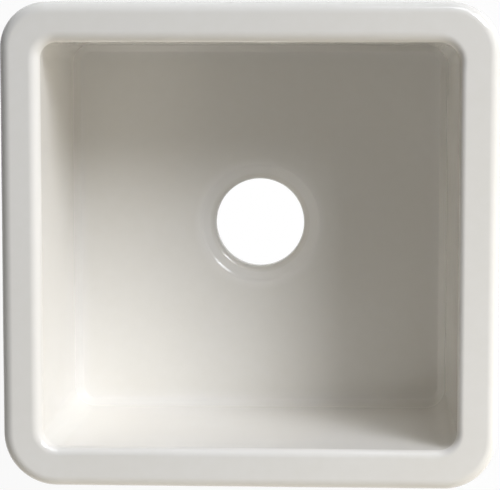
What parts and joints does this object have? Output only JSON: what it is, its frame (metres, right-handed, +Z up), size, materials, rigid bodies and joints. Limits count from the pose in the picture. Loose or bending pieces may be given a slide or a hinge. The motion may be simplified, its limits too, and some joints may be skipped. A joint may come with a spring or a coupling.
{
  "type": "apron front sink",
  "caption": "Square single-bowl apron front sink in glazed fireclay, with a broad rolled rim, straight deep bowl and a central outlet with a dished seat.",
  "frame": {"origin": "middle of the base, on the plane that the foot stands on", "axes": "+Z up out of the bowl, +X to the right along the apron, the apron front faces -Y"},
  "size_m": [0.46, 0.451, 0.254],
  "materials": {
    "fireclay": "unglazed buff fireclay, fine dry grain",
    "glaze": "warm white gloss glaze"
  },
  "bodies": {
    "root": {"fireclay_body": "fireclay", "glaze_coat": "glaze"}
  },
  "joints": []
}
